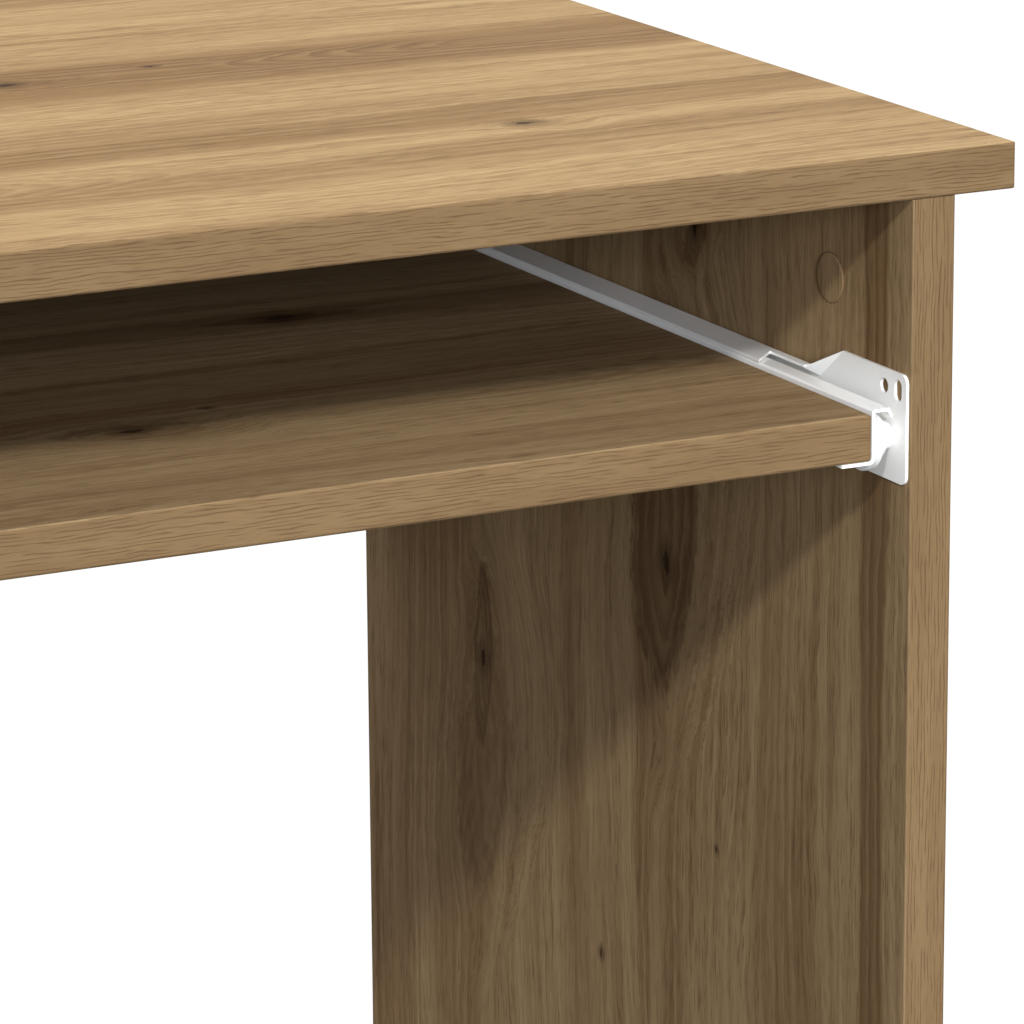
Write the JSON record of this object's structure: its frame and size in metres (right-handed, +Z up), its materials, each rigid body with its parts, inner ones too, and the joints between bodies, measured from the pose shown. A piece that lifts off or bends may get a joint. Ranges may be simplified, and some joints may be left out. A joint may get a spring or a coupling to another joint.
{
  "type": "computer desk",
  "caption": "Small oak-look computer desk of flat boards, with a keyboard tray that rolls out under the desktop on white steel slides.",
  "frame": {"origin": "on the floor, under the middle of the desktop", "axes": "+X to the right along the desk's width, -Y towards the user, +Z up"},
  "size_m": [0.8, 0.4, 0.72],
  "materials": {
    "oak_melamine": "satin woodgrain melamine on board",
    "white_coated_steel": "white powder coat, semi-gloss",
    "nylon": "smooth white nylon",
    "zinc": "zinc plated",
    "beech": "bare beech",
    "oak_plastic": "oak-coloured plastic",
    "black_plastic": "black plastic"
  },
  "bodies": {
    "frame": {"desktop": "oak_melamine", "side_panel_left": "oak_melamine", "side_panel_right": "oak_melamine", "back_panel": "oak_melamine", "cabinet_rail_left": "white_coated_steel", "cabinet_rail_right": "white_coated_steel", "front_roller_pin_left": "white_coated_steel", "front_roller_pin_right": "white_coated_steel", "cabinet_rail_screws": "zinc", "top_cams": "zinc", "top_cam_bolts": "zinc", "top_cam_caps": "oak_plastic", "top_dowels": "beech", "back_cams": "zinc", "back_cam_bolts": "zinc", "back_cam_caps": "oak_plastic", "back_dowels": "beech", "foot_glides": "black_plastic"},
    "tray": {"keyboard_tray": "oak_melamine", "tray_rail_left": "white_coated_steel", "tray_rail_right": "white_coated_steel", "rear_roller_pin_left": "zinc", "rear_roller_pin_right": "zinc", "tray_screws": "zinc"},
    "front_roller_left": {"front_roller_left": "nylon"},
    "front_roller_right": {"front_roller_right": "nylon"},
    "rear_roller_left": {"rear_roller_left": "nylon"},
    "rear_roller_right": {"rear_roller_right": "nylon"}
  },
  "joints": [
    {"name": "tray_slide", "type": "slide", "parent": "frame", "child": "tray", "axis": [0, -1, 0], "range_m": [0, 0.2]},
    {"name": "front_roller_left_spin", "type": "hinge", "parent": "frame", "child": "front_roller_left", "pos_m": [-0.3553, -0.1865, 0.628], "axis": [1, 0, 0], "continuous": true},
    {"name": "front_roller_right_spin", "type": "hinge", "parent": "frame", "child": "front_roller_right", "pos_m": [0.3553, -0.1865, 0.628], "axis": [1, 0, 0], "continuous": true},
    {"name": "rear_roller_left_spin", "type": "hinge", "parent": "tray", "child": "rear_roller_left", "pos_m": [-0.356, 0.091, 0.6307], "axis": [1, 0, 0], "continuous": true},
    {"name": "rear_roller_right_spin", "type": "hinge", "parent": "tray", "child": "rear_roller_right", "pos_m": [0.356, 0.091, 0.6307], "axis": [1, 0, 0], "continuous": true}
  ],
  "couplings": [
    {"joint": "front_roller_left_spin", "follows": "tray_slide", "rad_per_m": 96.154},
    {"joint": "front_roller_right_spin", "follows": "tray_slide", "rad_per_m": 96.154},
    {"joint": "rear_roller_left_spin", "follows": "tray_slide", "rad_per_m": 111.11},
    {"joint": "rear_roller_right_spin", "follows": "tray_slide", "rad_per_m": 111.11}
  ]
}
